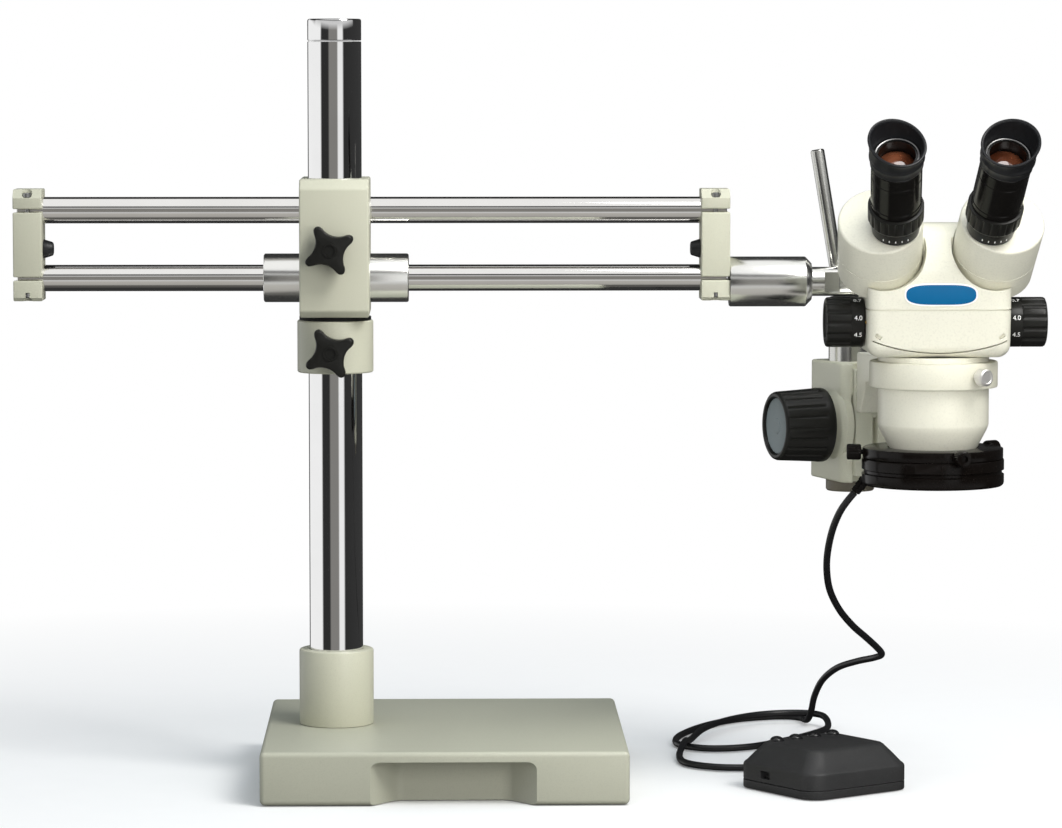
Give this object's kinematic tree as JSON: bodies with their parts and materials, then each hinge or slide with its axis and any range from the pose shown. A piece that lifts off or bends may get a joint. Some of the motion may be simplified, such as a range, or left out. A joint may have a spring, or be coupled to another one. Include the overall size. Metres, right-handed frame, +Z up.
{
  "type": "stereo microscope",
  "caption": "Stereo zoom microscope on a double-arm boom stand, with rack focusing, a ring light and a table-top light control box.",
  "frame": {"origin": "centre of the base plate's underside", "axes": "+X along the boom towards the microscope, -Y towards the user at the eyepieces, +Z up"},
  "size_m": [0.7215, 0.467, 0.5391],
  "materials": {
    "putty_paint": "fine-texture putty-green powder coat",
    "cream_paint": "smooth cream enamel",
    "chrome": "polished",
    "polished_rod": "ground and polished",
    "satin_steel": "satin turned",
    "knob_plastic": "moulded satin",
    "box_plastic": "spark-textured",
    "button_plastic": "gloss",
    "ring_gloss": "gloss black",
    "rubber": "matte",
    "cord_jacket": "satin jacket",
    "lens_glass": "coated",
    "coated_lens": "amber coated",
    "screw_steel": "zinc plated",
    "thumb_screw_aluminium": "turned",
    "bronze_ring": "painted"
  },
  "bodies": {
    "stand": {"base_plate": "putty_paint", "post_socket": "putty_paint", "post": "chrome", "post_cap": "chrome", "control_box_base": "box_plastic", "control_box_cover": "box_plastic", "table_cord": "cord_jacket"},
    "collar": {"stop_collar": "putty_paint"},
    "collar_clamp": {"collar_knob": "knob_plastic"},
    "carriage": {"carriage_block": "putty_paint", "bearing_sleeve": "satin_steel"},
    "carriage_clamp": {"carriage_knob": "knob_plastic"},
    "boom": {"upper_rod": "polished_rod", "lower_rod": "polished_rod", "boom_end_housing": "satin_steel", "left_lower_clamp": "putty_paint", "left_end_block": "putty_paint", "left_upper_clamp": "putty_paint", "left_clamp_screw": "screw_steel", "left_bumper": "rubber", "right_lower_clamp": "putty_paint", "right_end_block": "putty_paint", "right_upper_clamp": "putty_paint", "right_clamp_screw": "screw_steel", "right_bumper": "rubber"},
    "boom_end": {"swivel_shaft": "satin_steel", "drop_post": "satin_steel", "post_end_ring": "bronze_ring"},
    "lever": {"lock_lever": "satin_steel"},
    "focus_mount": {"focus_block": "putty_paint"},
    "focus_knobs": {"focus_knob_left": "knob_plastic", "focus_knob_right": "knob_plastic"},
    "focus_carrier": {"focus_slide": "putty_paint", "ring_holder": "cream_paint"},
    "holder_screw": {"ring_thumb_screw": "thumb_screw_aluminium"},
    "head": {"head_lower_housing": "cream_paint", "objective_lens": "lens_glass", "head_body": "cream_paint", "ring_light_body": "ring_gloss", "light_clamp_ring": "ring_gloss", "hanging_cord": "cord_jacket"},
    "zoom_knobs": {"zoom_knob_left": "knob_plastic", "zoom_knob_right": "knob_plastic"},
    "left_eye": {"prism_housing_left": "cream_paint", "eyepiece_tube_left": "knob_plastic", "eye_lens_left": "coated_lens", "eyecup_left": "rubber"},
    "right_eye": {"prism_housing_right": "cream_paint", "eyepiece_tube_right": "knob_plastic", "eye_lens_right": "coated_lens", "eyecup_right": "rubber"},
    "left_diopter": {"diopter_ring_left": "knob_plastic"},
    "right_diopter": {"diopter_ring_right": "knob_plastic"},
    "ring_screw_1": {"light_screw_1": "ring_gloss"},
    "ring_screw_2": {"light_screw_2": "ring_gloss"},
    "ring_screw_3": {"light_screw_3": "ring_gloss"},
    "button_1": {"control_button_1": "button_plastic"},
    "button_2": {"control_button_2": "button_plastic"},
    "button_3": {"control_button_3": "button_plastic"},
    "button_4": {"control_button_4": "button_plastic"}
  },
  "joints": [
    {"name": "boom_height", "type": "slide", "parent": "stand", "child": "collar", "axis": [0, 0, 1], "range_m": [-0.1, 0.09], "deforming": ["hanging_cord"]},
    {"name": "collar_knob_turn", "type": "hinge", "parent": "collar", "child": "collar_clamp", "pos_m": [-0.08, -0.019, 0.3045], "axis": [0, 1, 0], "range_deg": [-180, 180]},
    {"name": "boom_swing", "type": "hinge", "parent": "collar", "child": "carriage", "pos_m": [-0.077, 0.008, 0.329], "axis": [0, 0, 1], "range_deg": [-120, 120]},
    {"name": "carriage_knob_turn", "type": "hinge", "parent": "carriage", "child": "carriage_clamp", "pos_m": [-0.08, -0.024, 0.377], "axis": [0, 1, 0], "range_deg": [-180, 180]},
    {"name": "boom_slide", "type": "slide", "parent": "carriage", "child": "boom", "axis": [1, 0, 0], "range_m": [-0.2, 0.149]},
    {"name": "boom_roll", "type": "hinge", "parent": "boom", "child": "boom_end", "pos_m": [0.265, 0.047, 0.351], "axis": [1, 0, 0], "range_deg": [-30, 10]},
    {"name": "lever_turn", "type": "hinge", "parent": "boom_end", "child": "lever", "pos_m": [0.286, 0.047, 0.351], "axis": [0, 1, 0], "range_deg": [-30, 20]},
    {"name": "mount_swivel", "type": "hinge", "parent": "boom_end", "child": "focus_mount", "pos_m": [0.294, 0.047, 0.25], "axis": [0, 0, 1], "range_deg": [-30, 60]},
    {"name": "focus", "type": "slide", "parent": "focus_mount", "child": "focus_carrier", "axis": [0, 0, 1], "range_m": [-0.025, 0.025]},
    {"name": "focus_knob_turn", "type": "hinge", "parent": "focus_mount", "child": "focus_knobs", "pos_m": [0.30111, 0.02513, 0.25], "axis": [0.9511, 0.309, 0], "range_deg": [-265, 265]},
    {"name": "holder_screw_turn", "type": "hinge", "parent": "focus_carrier", "child": "holder_screw", "pos_m": [0.33803, -0.08853, 0.294], "axis": [0.5736, -0.8192, 0], "range_deg": [-180, 180]},
    {"name": "head_turn", "type": "hinge", "parent": "focus_carrier", "child": "head", "pos_m": [0.33803, -0.08853, 0.3], "axis": [0, 0, 1], "range_deg": [-150, 150]},
    {"name": "zoom", "type": "hinge", "parent": "head", "child": "zoom_knobs", "pos_m": [0.33803, -0.09503, 0.33], "axis": [1, 0, 0], "range_deg": [-135, 135]},
    {"name": "eye_distance_left", "type": "hinge", "parent": "head", "child": "left_eye", "pos_m": [0.29644, -0.13003, 0.401], "axis": [-0.0714, -0.7412, 0.6674], "range_deg": [-10, 10]},
    {"name": "eye_distance_right", "type": "hinge", "parent": "head", "child": "right_eye", "pos_m": [0.37964, -0.13003, 0.401], "axis": [0.0714, -0.7412, 0.6674], "range_deg": [-10, 10]},
    {"name": "diopter_left", "type": "hinge", "parent": "left_eye", "child": "left_diopter", "pos_m": [0.30604, -0.13603, 0.3946], "axis": [-0.0684, -0.7104, 0.7005], "range_deg": [-120, 120]},
    {"name": "diopter_right", "type": "hinge", "parent": "right_eye", "child": "right_diopter", "pos_m": [0.37004, -0.13603, 0.3946], "axis": [0.0684, -0.7104, 0.7005], "range_deg": [-120, 120]},
    {"name": "ring_screw_1_turn", "type": "hinge", "parent": "head", "child": "ring_screw_1", "pos_m": [0.33803, -0.08853, 0.2394], "axis": [-0.9976, 0.0698, 0], "range_deg": [-180, 180]},
    {"name": "ring_screw_2_turn", "type": "hinge", "parent": "head", "child": "ring_screw_2", "pos_m": [0.33803, -0.08853, 0.2394], "axis": [0.2588, -0.9659, 0], "range_deg": [-180, 180]},
    {"name": "ring_screw_3_turn", "type": "hinge", "parent": "head", "child": "ring_screw_3", "pos_m": [0.33803, -0.08853, 0.2394], "axis": [0.8192, 0.5736, 0], "range_deg": [-180, 180]},
    {"name": "button_1_press", "type": "slide", "parent": "stand", "child": "button_1", "axis": [0, 0, -1], "range_m": [0, 0.0012], "stiffness_N_per_m": 400, "springref_m": -0.0006},
    {"name": "button_2_press", "type": "slide", "parent": "stand", "child": "button_2", "axis": [0, 0, -1], "range_m": [0, 0.0012], "stiffness_N_per_m": 400, "springref_m": -0.0006},
    {"name": "button_3_press", "type": "slide", "parent": "stand", "child": "button_3", "axis": [0, 0, -1], "range_m": [0, 0.0012], "stiffness_N_per_m": 400, "springref_m": -0.0006},
    {"name": "button_4_press", "type": "slide", "parent": "stand", "child": "button_4", "axis": [0, 0, -1], "range_m": [0, 0.0012], "stiffness_N_per_m": 400, "springref_m": -0.0006}
  ],
  "couplings": [
    {"joint": "focus_knob_turn", "follows": "focus", "rad_per_m": -181.8},
    {"joint": "eye_distance_right", "follows": "eye_distance_left", "ratio": -1}
  ]
}
